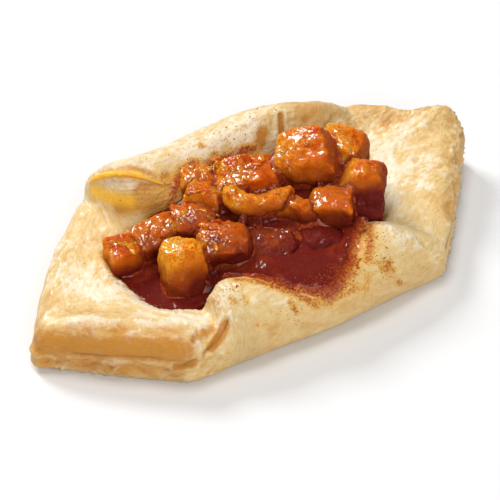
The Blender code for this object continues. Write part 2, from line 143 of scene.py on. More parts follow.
class StageSettings(bpy.types.PropertyGroup):
    """The floor and the light."""

    floor: colour("Floor", "The floor's colour", (0.78, 0.78, 0.78))
    key: power("Key light", "Power of the light behind, in watts", 6.9)
    top: power("Top light", "Power of the light overhead, in watts", 4.15)
    front: power("Front light", "Power of the wide light in front, in watts", 6.9)
    sky: power("Sky", "Strength of the even light all round", 0.16)


# ---------------------------------------------------------------- shader maths


class Wire:
    """A node's socket in an expression: arithmetic on it adds Math nodes."""

    def __init__(self, finish, socket):
        self.finish = finish
        self.socket = socket

    def maths(self, operation, *others):
        """The result of a Math node."""
        made = self.finish.add("ShaderNodeMath", {"operation": operation}, *others)
        return Wire(self.finish, made.outputs[0])

    def __add__(self, other):
        return self.maths("ADD", self, other)

    __radd__ = __add__

    def __sub__(self, other):
        return self.maths("SUBTRACT", self, other)

    def __rsub__(self, other):
        return self.maths("SUBTRACT", other, self)

    def __mul__(self, other):
        return self.maths("MULTIPLY", self, other)

    __rmul__ = __mul__

    def step(self, low, high):
        """0 below low, 1 above high, and an S curve between."""
        settings = {"interpolation_type": "SMOOTHSTEP", "clamp": True}
        made = self.finish.add("ShaderNodeMapRange", settings, self, low, high, 0.0, 1.0)
        return Wire(self.finish, made.outputs[0])


class Finish:
    """A material under construction."""

    def __init__(self, name):
        self.material = bpy.data.materials.new(name)
        self.material.use_nodes = True
        self.tree = self.material.node_tree
        self.shader = self.tree.nodes["Principled BSDF"]
        self.place = self.add("ShaderNodeTexCoord", {}).outputs["Object"]

    def feed(self, socket, value):
        """Links a socket or a wire to a node's input, or sets the input to a value."""
        if isinstance(value, Wire):
            value = value.socket
        if isinstance(value, bpy.types.NodeSocket):
            self.tree.links.new(value, socket)
        elif socket.type == "RGBA":
            socket.default_value = (*value[:3], 1.0)
        else:
            socket.default_value = value

    def add(self, kind, settings, *values, **named):
        """A node of a kind, its settings, and what feeds its sockets, by order or by name."""
        made = self.tree.nodes.new(kind)
        for key, setting in settings.items():
            setattr(made, key, setting)
        for socket, value in zip(made.inputs, values):
            if value is not None:
                self.feed(socket, value)
        for key, value in named.items():
            self.feed(made.inputs[key.replace("_", " ")], value)
        return made

    def mix(self, share, first, second):
        """A colour between two others."""
        made = self.add("ShaderNodeMix", {"data_type": "RGBA"})
        self.feed(made.inputs[0], share)
        self.feed(made.inputs[6], first)
        self.feed(made.inputs[7], second)
        return made.outputs[2]

    def stretched(self, stretch, turn):
        """Coordinates that draw a pattern out along a direction turned from X."""
        made = self.add(
            "ShaderNodeMapping",
            {"vector_type": "TEXTURE"},
            Vector=self.place,
            Rotation=(0.0, 0.0, turn),
            Scale=stretch,
        )
        return made.outputs[0]

    def noise(self, per_metre, detail=3.0, roughness=0.55, distortion=0.0, place=None):
        """Cloudy noise from 0 to 1 with so many lumps to the metre."""
        named = {"Scale": per_metre, "Detail": detail, "Roughness": roughness, "Distortion": distortion}
        made = self.add("ShaderNodeTexNoise", {}, Vector=place or self.place, **named)
        return Wire(self, made.outputs["Fac"])

    def painted(self, attribute):
        """A number stored on the vertices."""
        made = self.add("ShaderNodeAttribute", {"attribute_name": attribute})
        return Wire(self, made.outputs["Fac"])

    def directions(self, attribute):
        """Coordinates that follow the surface, stored on its vertices."""
        return self.add("ShaderNodeAttribute", {"attribute_name": attribute}).outputs["Vector"]

    def soaked(self, level, dry, filling):
        """The colour where there is a given share of syrup, from dry dough to the deep pool."""
        grains = self.noise(1800, 3.0, 0.75) - 0.5
        reach = level + grains * 1.4 * level.step(0.02, 0.3) * (1 - level.step(0.6, 0.9) * 0.7)
        base = self.mix(reach.step(0.08, 0.34), dry, filling.faint)
        base = self.mix(reach.step(0.30, 0.52), base, filling.stain)
        base = self.mix(reach.step(0.46, 0.72), base, filling.thin)
        return self.mix(reach.step(0.66, 0.95), base, filling.deep)

    def bump(self, height, depth, strength):
        """Fine relief up to a depth in metres, in the shading only."""
        made = self.add("ShaderNodeBump", {}, Strength=strength, Distance=depth, Height=height)
        self.feed(self.shader.inputs["Normal"], made.outputs[0])

    def surface(self, **named):
        """What feeds the shader's inputs, by name."""
        for key, value in named.items():
            self.feed(self.shader.inputs[key.replace("_", " ")], value)


# ---------------------------------------------------------------- modelling by operators


def choose(obj):
    """Leaves one object selected and active."""
    if bpy.context.object and bpy.context.object.mode != "OBJECT":
        bpy.ops.object.mode_set(mode="OBJECT")
    bpy.ops.object.select_all(action="DESELECT")
    obj.select_set(True)
    bpy.context.view_layer.objects.active = obj


def finished(obj, kind, **settings):
    """Adds a modifier and applies it."""
    choose(obj)
    bpy.ops.object.modifier_add(type=kind)
    modifier = obj.modifiers[-1]
    for key, value in settings.items():
        setattr(modifier, key, value)
    bpy.ops.object.modifier_apply(modifier=modifier.name)


def evened(obj, grid):
    """Gives the same shape an even mesh."""
    finished(obj, "REMESH", mode="VOXEL", voxel_size=grid, use_smooth_shade=True)


def softened(obj, rounds, factor=0.5, **settings):
    """Smooths a shape over so many rounds."""
    finished(obj, "SMOOTH", factor=factor, iterations=rounds, **settings)


def merged(obj):
    """Joins loose triangles along their shared edges and turns every normal outward."""
    choose(obj)
    bpy.ops.object.mode_set(mode="EDIT")
    bpy.ops.mesh.select_all(action="SELECT")
    bpy.ops.mesh.remove_doubles(threshold=0.01 * MM)
    bpy.ops.mesh.normals_make_consistent(inside=False)
    bpy.ops.object.mode_set(mode="OBJECT")


def from_solid(node, name):
    """A new piece from a solid's own surface, its loose triangles merged."""
    obj = bpy.data.objects.new(name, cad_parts[node].data.copy())
    obj.data.name = name
    obj.data.materials.clear()
    bpy.context.scene.collection.objects.link(obj)
    merged(obj)
    return obj


def dressed(obj, material, slot, *nodes):
    """Smooth shading, material and body, and the solids that the piece stands for. The slot is not used."""
    choose(obj)
    bpy.ops.object.shade_smooth()
    obj.data.materials.clear()
    obj.data.materials.append(material)
    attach(obj, "root")
    if nodes:
        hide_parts(*nodes)


def places(obj):
    """Every vertex, in millimetres."""
    flat = np.empty(len(obj.data.vertices) * 3, np.float32)
    obj.data.vertices.foreach_get("co", flat)
    return flat.reshape(-1, 3).astype(float) / MM


def facings(obj):
    """The normal at every vertex."""
    flat = np.empty(len(obj.data.vertices) * 3, np.float32)
    obj.data.vertex_normals.foreach_get("vector", flat)
    return flat.reshape(-1, 3).astype(float)


def proudness(obj):
    """How far each vertex stands out from a much smoother copy: most on edges and corners."""
    points, normals = places(obj), facings(obj)
    softened(obj, 45, 1.0)
    proud = ((points - places(obj)) * normals).sum(axis=1)
    move_to(obj, points)
    return proud


def move_to(obj, points):
    """Puts every vertex at a place in millimetres."""
    obj.data.vertices.foreach_set("co", (points * MM).astype(np.float32).ravel())
    obj.data.update()


def swell(obj, height):
    """Moves every vertex out along its normal, by one height in millimetres or by one for each."""
    move_to(obj, places(obj) + facings(obj) * np.reshape(height, (-1, 1)))


def paint(obj, name, values):
    """Stores a number on every vertex for the material to read."""
    layer = obj.data.attributes.new(name, "FLOAT", "POINT")
    layer.data.foreach_set("value", np.clip(values, 0.0, 1.0).astype(np.float32))


def paint_directions(obj, name, points):
    """Stores coordinates on every vertex, in metres, for the material's patterns."""
    layer = obj.data.attributes.new(name, "FLOAT_VECTOR", "POINT")
    layer.data.foreach_set("vector", (points * MM).astype(np.float32).ravel())


def group_of(obj, name, weights):
    """A vertex group whose weights are rounded to tenths."""
    group = obj.vertex_groups.new(name=name)
    tenths = np.round(np.clip(weights, 0.0, 1.0) * 10).astype(int)
    for tenth in range(1, 11):
        group.add(np.nonzero(tenths == tenth)[0].tolist(), tenth / 10, "REPLACE")
    return name


# ---------------------------------------------------------------- the solids' surfaces

# How far a search looks for a neighbouring surface, in millimetres.
REACH = 4.0
# Where a plumb line starts, in metres above the floor.
PLUMB_START = 0.1


def joined(objects):
    """The vertices and faces of several objects together."""
    points, faces = [], []
    for obj in objects:
        first = len(points)
        points += [v.co.copy() for v in obj.data.vertices]
        faces += [[first + i for i in face.vertices] for face in obj.data.polygons]
    return points, faces


def solids(*nodes):
    """The solids of several nodes."""
    return [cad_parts[node] for node in nodes]


def surface_of(objects):
    """A search tree over several objects."""
    return BVHTree.FromPolygons(*joined(objects))


def gap_to(surface, points):
    """How far each place is from a surface, in millimetres, up to REACH."""
    found = [surface.find_nearest(place, REACH * MM)[3] for place in (points * MM).tolist()]
    return np.array([gap or REACH * MM for gap in found]) / MM


def landing(surface, x, y):
    """Where a plumb line meets a surface, in metres, and the normal there, or None twice."""
    return surface.ray_cast(Vector((x, y, PLUMB_START)), Vector((0, 0, -1)))[:2]


def height_under(surface, points):
    """The height of a surface under each place, in millimetres, and 0 where there is none."""
    hits = [landing(surface, x * MM, y * MM)[0] for x, y in points[:, :2].tolist()]
    return np.array([hit.z / MM if hit else 0.0 for hit in hits])


def scattered(name, detail, clusters, number, draw, land, size, spans):
    """One mesh of small lumps, strewn in clusters: land finds what carries one, size draws its radius, and
    spans are the ranges of its length, width and height."""
    bpy.ops.object.select_all(action="DESELECT")
    bpy.ops.mesh.primitive_ico_sphere_add(subdivisions=detail, radius=1.0)
    obj = bpy.context.object
    obj.name = obj.data.name = name
    ball = [v.co.copy() for v in obj.data.vertices]
    sides = [list(face.vertices) for face in obj.data.polygons]
    points, faces = [], []
    total = sum(share for _, _, share in clusters)
    for middle, spread, share in clusters:
        for _ in range(number * share // total):
            top, lean = land(*(draw.gauss(m, s) * MM for m, s in zip(middle, spread)))
            if top is None:
                continue
            radius = size(draw) * MM
            shape = Matrix.Diagonal([draw.uniform(*span) for span in spans])
            spin = Matrix.Rotation(draw.uniform(0, 6.28), 3, "Z")
            turn = lean.to_track_quat("Z", "Y").to_matrix() @ spin
            first = len(points)
            points += [top + turn @ (shape @ corner) * radius for corner in ball]
            faces += [[first + i for i in side] for side in sides]
    obj.data.clear_geometry()
    obj.data.from_pydata(points, [], faces)
    return obj


# ---------------------------------------------------------------- fields over a surface


def wave(points, size, stretch=(1.0, 1.0, 1.0), shift=0.0):
    """Smooth noise from -1 to 1 whose lumps are about size millimetres."""
    scaled = points * (np.array(stretch) / size) + shift
    return np.array([noise.noise(p) for p in scaled.tolist()])


def step(values, low, high):
    """0 below low, 1 above high, and an S curve between."""
    share = np.clip((values - low) / (high - low), 0.0, 1.0)
    return share * share * (3.0 - 2.0 * share)


def line_gap(points, start, end):
    """The distance to a straight line between two places, and how far along it."""
    start, side = np.array(start, float), np.array(end, float) - np.array(start, float)
    along = np.clip((points - start) @ side / (side @ side), 0.0, 1.0)
    return np.linalg.norm(points - start - along[:, None] * side, axis=1), along


def bell(gap, width):
    """1 at no distance, falling smoothly to 0 beyond a width."""
    return np.exp(-((gap / width) ** 2))


def path_gap(points, path):
    """The distance to the nearest stretch of a path of places."""
    return np.min([line_gap(points, a, b)[0] for a, b in zip(path, path[1:])], axis=0)


def near_path(points, path, radius):
    """1 on a path and falling to 0 round it."""
    return bell(path_gap(points, path), radius)


def ridge(values, sharpness):
    """1 where a wave crosses zero, falling to 0 on both sides."""
    return np.clip(1 - np.abs(values) * sharpness, 0, 1)


def pulse(phase, sharpness):
    """1 in the middle of each whole step of a phase, and 0 where the next one starts."""
    return (0.5 - 0.5 * np.cos(2 * math.pi * phase)) ** sharpness


def patches(points, rows):
    """The largest of several soft patches: a path, its radius and its strength."""
    total = np.zeros(len(points))
    for path, radius, strength in rows:
        total = np.maximum(total, near_path(points, path, radius) * strength)
    return total


# ---------------------------------------------------------------- the crust

# The tips in x and y, before the dough rounds them, and the left one where it is drawn out to a thin point.
LEFT_TIP, RIGHT_TIP, THIN_TIP = (-67.5, -0.5), (67.5, 1.0), (-66.0, -0.5)
CUT_SIDES = (
    (LEFT_TIP, (-40.7, -28.2)),
    (LEFT_TIP, (-30.8, 34.9)),
    (RIGHT_TIP, (31.5, -33.7)),
    (RIGHT_TIP, (45.6, 23.7)),
)

# Slits in the dough: the path along each one, its width and its depth, in millimetres.
CRACKS = (
    (((-29.8, -26.4, 14.4), (-31.5, -27.1, 12), (-34.6, -28.2, 10.4), (-37.4, -28.5, 9.6)), 0.55, 0.9),
    (((-43.4, -25.4, 6.2), (-41.2, -26.8, 6.7), (-39.8, -28, 7.6)), 0.75, 0.8),
    (((-36, -24, 12.8), (-38.4, -25.8, 12.2), (-41, -26.6, 10.8)), 0.4, 0.4),
    (((-45.5, -23.5, 7.6), (-42, -26.4, 8), (-39.5, -28, 8.8)), 0.5, 0.4),
)

# Pleats on the far fold's inner face, from its crest down to the fruit.
PLEATS = (
    (((21, 19.8, 23.6), (19.6, 17.6, 20.2), (18.8, 16.4, 18)), 0.5, 0.7),
    (((18.8, 20.2, 23.4), (16.6, 17.9, 19.8)), 0.4, 0.35),
    (((23.2, 19.2, 23.2), (21.6, 16.8, 19.8)), 0.45, 0.4),
)

# Where the skin is palest: along the far fold, round the well and beside the fruit on the right.
PALE_PATCHES = (
    (((-38, 36, 12), (-22, 31, 22), (-4, 24, 22), (12, 23.5, 24)), 5, 0.9),
    (((-10, 22.5, 22), (12, 21, 22.5)), 3.5, 0.7),
    (((-27.4, 29.2, 18.8), (-24.6, 26.8, 19.4), (-22, 24.4, 19.2), (-19.6, 21.8, 18.4)), 1.9, 1),
    (((-46, 12, 12.6), (-48, 0, 12.6), (-38, -12, 13), (-31, -15.5, 14)), 3.6, 0.85),
    (((-57.2, -4.1, 13.5), (-55.5, -6.5, 13.7)), 1.3, 1),
    (((-53.8, -8.6, 13.9), (-52.2, -10.4, 13.6)), 1.3, 1),
    (((-45.5, -15.5, 14.4), (-42, -18.5, 14), (-38, -19.5, 13.8)), 1.4, 1),
    (((-33.5, -23, 12.9), (-36.6, -25.4, 12.7), (-39.6, -26.6, 11.8), (-41, -27.2, 10.6)), 1, 1),
    (((-27, -22, 17.5), (-25, -19, 18.5)), 1.8, 0.9),
    (((33, 6, 12.6), (37, -4, 12.6), (31, -11, 13)), 5, 0.9),
    (((40, 8, 13), (50, 2, 14)), 4, 0.4),
    (((19.2, 20, 23.4), (17.4, 17.6, 19.6)), 0.7, 1),
    (((22.2, 19.4, 23.2), (20.6, 17, 20)), 0.7, 1),
)

# Where the skin has burst into dry, curling flakes.
CRACKLED_PATCHES = (
    (((-58.5, -4, 13), (-55.5, -6.5, 13.7)), 2, 1),
    (((-53.8, -8.6, 13.9), (-51.6, -11.6, 13.2)), 2, 1),
    (((-45.5, -15.5, 14.4), (-42, -18.5, 14), (-38, -19.5, 13.8)), 2, 1),
    (((-33.5, -23, 12.9), (-36.6, -25.4, 12.7), (-39.6, -26.6, 11.8), (-41, -27.2, 10.6)), 1.7, 1),
    (((-30, -22.5, 15.5), (-27.5, -19.5, 17.8)), 2, 0.9),
    (((-49, 2, 12.8), (-46, -3, 12.8)), 2.4, 0.6),
    (((36, -6, 12.6), (30, -12, 13.2)), 3, 0.8),
    (((64, 2, 15.6), (60, -5, 14.4), (54, -10, 13)), 1.6, 0.8),
    (((19, -20.9, 15.8), (20.5, -26.8, 16.4), (25.3, -30.8, 12.6), (29.6, -33.5, 8.5)), 2, 0.8),
    (((14.5, -20, 16.5), (19, -21.5, 16)), 1.6, 1),
    (((-8, 24.5, 22.6), (6, 23.5, 23.4), (14, 23, 24)), 2.4, 0.5),
)

# Where it is yellowest: behind the right lobe, along its rim, and on the near fold's outer face.
YELLOW_PATCHES = (
    (((42, 18, 14), (48.3, 15.1, 14.4), (55.5, 9.7, 15.4), (63, 2, 15.5)), 4.5, 1),
    (((25, 18.5, 23), (31, 17.5, 22), (37, 17.5, 20)), 3.5, 0.9),
    (((59, -5, 13.5), (50, -14, 12.6), (41, -23, 10.5)), 3.2, 0.9),
    (((-24, -30, 9), (-8, -35, 8), (10, -36, 7), (28, -30, 8)), 6, 0.35),
    (((-66, 2, 11), (-56, 10, 12.2), (-46, 19, 12.4)), 3, 0.6),
    (((-58, -1, 12.8), (-50, -8, 13.6)), 2.6, 0.5),
)

# Where it is baked golden: the left lobe's front, the lips of the slits and the edges.
GOLDEN_PATCHES = (
    (((-66, -1.5, 8.6), (-56.2, -12.8, 9.9), (-47.4, -20.8, 10.6), (-42, -25.8, 10.6)), 3.4, 1.1),
    (((-64, -3, 11), (-55.2, -10.6, 12.6), (-46, -18.2, 13.4), (-41, -22.5, 12.8)), 2.6, 0.6),
    (((-40, -25.4, 12.2), (-33, -25, 12.6)), 1.8, 0.7),
    (((-30.4, -26.8, 13.6), (-32.2, -27.4, 11.6), (-35.6, -28.4, 10.2)), 1.1, 1.25),
    (((-43.2, -25.7, 6.3), (-40.4, -27.6, 7.4)), 1.3, 1.25),
    (((-65, -4, 4), (-54, -15.5, 4), (-44, -25.5, 4)), 3.5, 0.55),
    (((51.5, 10.9, 13.9), (49, 11.8, 12.9)), 1.8, 0.6),
    (((26.5, 17, 21.6), (31, 17.3, 21.8)), 2, 0.45),
    (((21, 19.8, 23.6), (19.6, 17.6, 20.2)), 0.8, 0.9),
    (((15, 19.4, 21.2), (13.4, 18.6, 19.4), (12, 18.4, 18)), 1.5, 1.1),
    (((66.5, 0, 4), (66.5, 0, 15)), 2.4, 0.7),
    (((-32, -18, 14), (-29.5, -21, 17)), 2, 0.7),
    (((-29.5, 29.6, 21.8), (-24, 27.4, 23), (-19.4, 24, 22.6), (-16.5, 21.2, 21)), 1.5, 0.7),
    (((-25.5, 23, 14), (-21, 20.3, 14.2), (-17.5, 18.6, 15)), 2.6, 0.8),
    (((-20, 20.4, 17), (-15.5, 18.8, 16.6), (-13.6, 19.2, 18.6)), 3, 1.4),
    (((12.8, -32, 14.5), (13.2, -35.8, 9.6)), 2, 0.3),
)

# Where the moist inner dough shows: in the slit and below it, its colour brightened as painted light in the
# shade there.
BUTTER_PATCHES = (
    (((-28.8, 29.2, 20.8), (-26.4, 27.2, 22), (-23.5, 25, 22), (-20.5, 23.2, 21.2)), 1.2, 1),
    (((-29.4, 28.6, 17.2), (-26.9, 25.2, 16.4), (-23.6, 22.2, 15.6)), 2.3, 0.9),
    (((-24.5, 23, 15.2), (-20.8, 20.4, 14.8)), 1.9, 0.45),
)

# Where the dough keeps its sharp shape: round the slit, at the tips and at a corner of the left lobe.
CRISP_PATCHES = (
    (((-30, 29, 20), (-22, 26, 20), (-14, 18.5, 18)), 2.6, 0.6),
    (((-66, -1, 0), (-66, -1, 12)), 5, 0.85),
    (((66, 1, 0), (66, 1, 16)), 4, 0.7),
    (((-40.7, -28.2, 2), (-40, -28.4, 10)), 3, 0.5),
)

# The right lobe's near edge, where layers have flaked away.
FRAYED = ((65.5, 0.5, 14), (61.3, -4.5, 12.4), (55.8, -10.2, 11.9), (50.2, -15.5, 11.4), (44, -22, 9.8))
# The tongue of thin layers below the slit.
TONGUE = ((-28.5, 28, 19.5), (-25, 24.6, 19.3), (-20, 20.5, 18), (-15.5, 18.5, 17))
# Where the crest of the far fold is pitted, and where an end and a corner of the dough are torn.
PITTED = ((12, 21.5, 22.5), (18, 23.5, 24))
ROUGH_END = ((-32, -17.5, 13.5), (-29, -20.5, 17.5))
NIBBLED = ((67, 1, 6), (66, 0, 15.5), (60.5, -6, 15))

# Where syrup has touched the dough past the pool's edge.
STAIN_PATCHES = (
    (((12.4, -33.2, 13), (14.2, -32.5, 13.7)), 1.2, 0.85),
    (((15.7, -34.6, 8.4), (16.5, -34.4, 7.2)), 0.9, 0.95),
    (((-22, -20, 17.8), (-16.8, -24.1, 17.4), (-11.7, -29.1, 15.2), (-8.2, -32.4, 12)), 1.3, 0.9),
    (((-7.1, -32.9, 11.6), (-2.7, -33, 11.7), (3, -33.4, 11.9)), 1.5, 0.7),
    (((-21, 20.8, 16), (-17.5, 19.4, 16.4), (-14.6, 18.8, 17.4)), 2.6, 0.55),
    (((2, -32.7, 13.1), (5.5, -34.2, 10.7), (7.4, -32.5, 13)), 1.6, 0.55),
    (((9, -30.6, 16.2), (13, -26.5, 17), (18, -20, 16.2)), 1.6, 0.9),
    (((-4.5, 21, 19.6), (-9, 20.5, 19.4), (-13, 18.5, 17), (-15, 17.5, 14.5)), 1.8, 1.1),
    (((-4, 20, 19), (5, 19, 18.6), (11.5, 18, 18.4)), 1.4, 1),
    (((-1.2, 23.9, 21.7), (-0.6, 23.4, 21.5)), 0.8, 0.8),
    (((0.5, 21.1, 19.5), (1.6, 21, 19.6)), 0.8, 0.7),
    (((7.6, 19.1, 19), (10, 18.6, 18.8)), 1.3, 1),
    (((-13.9, -30.1, 14.2), (-13.4, -31.7, 11.9)), 0.9, 0.75),
    (((-24, -26.4, 16.5), (-23.4, -25, 17.4)), 0.8, 0.6),
    (((-26.4, -23.4, 17.3), (-26, -24.6, 16.6)), 0.9, 0.7),
    (((-23.8, -30.3, 12.4), (-23.5, -30.4, 12.2)), 0.6, 0.6),
    (((11.6, -32.8, 13.4), (15, -33.6, 11.8)), 0.9, 0.8),
    (((10.4, -31.3, 15), (12, -31.8, 14.4)), 0.8, 0.6),
    (((-1.9, -34.1, 7.2), (-1.4, -34.1, 7)), 0.6, 0.5),
)


def cut_side_field(points):
    """How near a place is to a cut side of the dough, and how far it lies along it."""
    share, along = np.zeros(len(points)), np.zeros(len(points))
    for start, end in CUT_SIDES:
        gap, run = line_gap(points[:, :2], start, end)
        close = np.exp(-((gap / 4.5) ** 4)) * step(run, 0.0, 0.02) * (1 - step(run, 0.93, 1.0))
        along = np.where(close > share, run * math.dist(start, end) + start[0], along)
        share = np.maximum(share, close)
    return share, along


# The share of x and of y in a direction halfway between them.
DIAGONAL = 0.71


def grain_coordinates(points):
    """Coordinates along and across the papery grain: round the left tip's rim, and out to the right tip."""
    x, y, z = points.T
    left = 1 - step(x, -32.0, -22.0)
    right = step(x, 30.0, 38.0)
    across_left = (x - LEFT_TIP[0] - np.abs(y)) * DIAGONAL
    along_left = (np.abs(y) + x) * DIAGONAL
    across = across_left * left + y * right + (y + 0.4 * z) * (1 - left - right)
    along = along_left * left + x * right + x * (1 - left - right)
    return np.stack([along, across, z], axis=1)


def papery_wrinkles(grain):
    """Coarse and fine wrinkles along the grain."""
    coarse = ridge(wave(grain, 2.6, (0.45, 1.0, 0.7), 3.0), 2.4)
    fine = ridge(wave(grain, 1.3, (0.55, 1.0, 0.8), 11.0), 2.4)
    return 0.75 * coarse**2 + 0.8 * fine**2


def torn_sheets(grain):
    """The step that each sheet of skin lies on, and how near its torn edge a place is."""
    level = 1.6 * wave(grain, 7.0, (0.55, 1.0, 0.7), 51.0)
    level += 0.8 * wave(grain, 2.9, (0.6, 1.0, 0.8), 57.0)
    within = level - np.floor(level)
    return np.floor(level) + step(within, 0.0, 0.16), 1 - step(within, 0.0, 0.5)


def baked_layers(points, along, layer):
    """On a cut side: the gaps between its layers, their ragged ends, the long seam and the curled flakes."""
    x, y, z = points.T
    run = np.stack([along, z * 0.4, y * 0], axis=1)
    phase = z / layer + 1.3 * wave(run, 11.0) + 0.7 * wave(run, 3.6, shift=5.0)
    gaps = pulse(phase, 4) * step(wave(run, 5.0, shift=17.0), -0.2, 0.3)
    ragged = wave(np.stack([along, np.floor(phase) * 3.7, y * 0], axis=1), 1.6)
    level_of_seam = 6.2 + 2.1 * step(x, -65.0, -50.0) + 0.9 * wave(run, 14.0, shift=23.0)
    seam = bell(z - level_of_seam, 0.38) * step(x, -64.0, -59.0) * (1 - 0.6 * step(x, 30.0, 45.0))
    slanted = np.stack([along - 0.9 * z + 1.2 * wave(points, 4.0, shift=27.0), 0.3 * z, y * 0], axis=1)
    curls = ridge(wave(slanted, 3.0, shift=33.0), 7.0) * step(wave(run, 9.0, shift=37.0), -0.25, 0.05)
    return gaps, ragged, seam, curls


def slits(points, rows):
    """How deep a place lies in one of several slits, and how far the lips beside them stand up."""
    deep, lips = np.zeros(len(points)), np.zeros(len(points))
    for path, width, depth in rows:
        gap = path_gap(points, path)
        deep += bell(gap, width) * depth
        lips += bell(gap - width * 2.2, width) * depth * 0.3
    return deep, lips


def crust_relief(points, normals, crust):
    """How far each place stands proud, in millimetres, and what the material needs to know of it, by name."""
    x, y, z = points.T
    side, along = cut_side_field(points)
    side *= 1 - step(np.abs(normals[:, 2]), 0.45, 0.8)
    laminated = side * (1 - step(z, 6.0, 8.6)) * step(z, 0.2, 0.9)
    up = step(normals[:, 2], 0.15, 0.7)
    flat = np.maximum(step(x, 33.0, 41.0), 1 - step(x, -34.0, -27.0))
    grain = grain_coordinates(points)

    bubbles = wave(points, 5.5) + 0.5 * wave(points, 2.6, shift=7.0)
    wrinkles = papery_wrinkles(grain) * up * (0.4 + 0.6 * flat) * (1 - side)
    wrinkles *= step(wave(points, 9.0, shift=21.0), -0.35, 0.25)
    terrace, sheet = torn_sheets(grain)
    gaps, ragged, seam, curls = baked_layers(points, along, crust.layer / MM)
    crack, crack_lips = slits(points, CRACKS)
    pleat, pleat_lips = slits(points, PLEATS)
    leaves = pulse(z / 1.1 + 0.5 * wave(points, 5.0, shift=81.0), 3) * near_path(points, TONGUE, 2.4)
    pits = step(wave(points, 1.0, shift=31.0), 0.32, 0.5) * near_path(points, PITTED, 4.0)
    bitten = near_path(points, ROUGH_END, 2.6) + near_path(points, NIBBLED, 3.0)
    frayed = near_path(points, FRAYED, 2.6) * (0.4 + step(wave(points, 3.4, shift=47.0), -0.07, 0.07))
    crazed = np.stack([x + 0.6 * wave(points, 1.4, shift=91.0), y, z], axis=1)
    crackle = ridge(wave(crazed, 1.5, shift=93.0), 4.0) * patches(points, CRACKLED_PATCHES)

    height = bubbles * crust.puff / MM * (0.5 + 0.5 * up) + 0.5 * crackle
    height += terrace * (0.35 + 0.65 * flat) * (1 - side) * crust.terrace / MM
    height += wrinkles * crust.wrinkle / MM
    height += (ragged * 0.25 + curls * 0.75 - gaps * crust.layer_depth / MM) * laminated - seam * side * 0.6
    height += crack_lips + pleat_lips - crack - pleat - pits * 0.45 - 0.3 * leaves - frayed
    height += (wave(points, 1.5, shift=41.0) * 0.8 + wave(points, 0.8, shift=43.0) * 0.4) * bitten
    return {
        "height": height * step(z, 0.0, 1.2),
        "brown": laminated * gaps * 0.7 + crack * 0.9 + pleat * 0.2 + seam * side * 1.1 + leaves * 0.1,
        # Crests of wrinkles, curls and crackle: paler lifted skin, and a painted highlight on the crests.
        "lift_and_sheen": np.maximum(np.maximum(wrinkles, curls * laminated), 1.5 * crackle),
        "edge": side,
        "sheet": sheet,
        "mottled": 0.6 + 0.4 * np.maximum(flat, step(y, -14.0, -8.0)),
    }


def crust_finish(crust, filling):
    """Papery dough, pale to golden, browned in its cracks, stained by syrup, and buttery with painted light
    in the slit.
    """
    skin = Finish("baked_crust")
    golden, brown = skin.painted("golden"), skin.painted("brown")
    butter_and_glow, level, lift_and_sheen = skin.painted("butter_and_glow"), skin.painted("level"), skin.painted("lift_and_sheen")
    sheet, pallor, mottled = skin.painted("sheet"), skin.painted("pallor"), skin.painted("mottled")

    grain = skin.directions("grain")
    cloud = skin.noise(150, 3.0, 0.6)
    mottle = skin.noise(430, 5.0, 0.62, 0.6)
    streak = skin.noise(620, 5.0, 0.66, 0.8, place=grain)
    fleck = skin.noise(1300, 3.0, 0.6, 0.5, place=grain)
    blanch = (cloud - 0.5) * 0.9 + ((mottle - 0.5) * 0.7 + (streak - 0.5) * 1.3) * mottled
    # Crests paler: partly paler lifted skin, partly a painted highlight.
    blanch = blanch + lift_and_sheen * 0.6 + (sheet - 0.5) * 0.25 * mottled + (pallor - 0.5) * 0.9 - 0.12
    blanch = blanch + (fleck - 0.5) * 0.8 * mottled
    base = skin.mix(blanch.step(-0.15, 0.4), crust.cream, crust.pale)
    base = skin.mix((0 - blanch).step(0.1, 0.6) * 0.5, base, crust.golden)
    uneven_bake = (cloud - 0.5) * 1.4 + (mottle - 0.5) * 0.9 + (streak - 0.5) * 1.3
    toast = (golden + uneven_bake * (golden + 0.2)).step(0.1, 0.9)
    base = skin.mix(toast * 0.93, base, crust.golden)
    scorched = (golden - 0.75 + (fleck - 0.5) * 1.2).step(0.1, 0.8) * 0.35
    base = skin.mix(scorched, base, crust.brown)
    dark = (brown + (streak - 0.5) * 0.5 * brown).step(0.25, 1.1)
    base = skin.mix(dark, base, crust.brown)
    # The slit and the hollow below it: moist inner dough, brightened as painted light where they lie in
    # shade.
    base = skin.mix(butter_and_glow.step(0.05, 1.0), base, crust.butter_and_glow)
    base = skin.soaked(level, base, filling)

    wet = level.step(0.3, 0.6)
    glazed = (lift_and_sheen * 0.5 + (streak - 0.5) * 1.2 + (mottle - 0.5) * 0.8 + 0.1).step(0.0, 0.35)
    papery = skin.noise(1000, 4.0, 0.65, 0.8, place=grain)
    pores = skin.noise(1900, 4.0, 0.65, 0.3)
    skin.bump(pores * 0.8 + papery * 1.1 + streak * 0.8, 0.32 * MM, 0.9)
    skin.surface(
        Base_Color=base,
        Roughness=0.5 - glazed * 0.14 - wet * 0.1,
        Specular_IOR_Level=0.35,
        Coat_Weight=glazed * 0.3 + wet * 0.5,
        Coat_Roughness=0.18,
        Subsurface_Weight=0.12,
        Subsurface_Radius=(1.0, 0.5, 0.2),
        Subsurface_Scale=1.6 * MM,
        IOR=1.42,
    )
    return skin.material


# The near fold's saddle, over which the syrup spills: its middle and half its width in x, its inner edge in
# y, and its height.
SADDLE_X, SADDLE_HALF, SADDLE_Y, SADDLE_Z = -0.5, 19.0, -15.0, 16.0
# Where the deep syrup ends as it spills over the saddle: places along x, and the edge's y at each.
SPILL_X = (-19.5, -16.3, -12, -9.3, -6.2, -3.6, -1, 2.6, 5.4, 8.4, 12, 16.4, 19.5)
SPILL_Y = (-18, -22.3, -27.6, -29.8, -32, -32.5, -31.8, -29.9, -28.3, -25.3, -21.5, -18.4, -15)


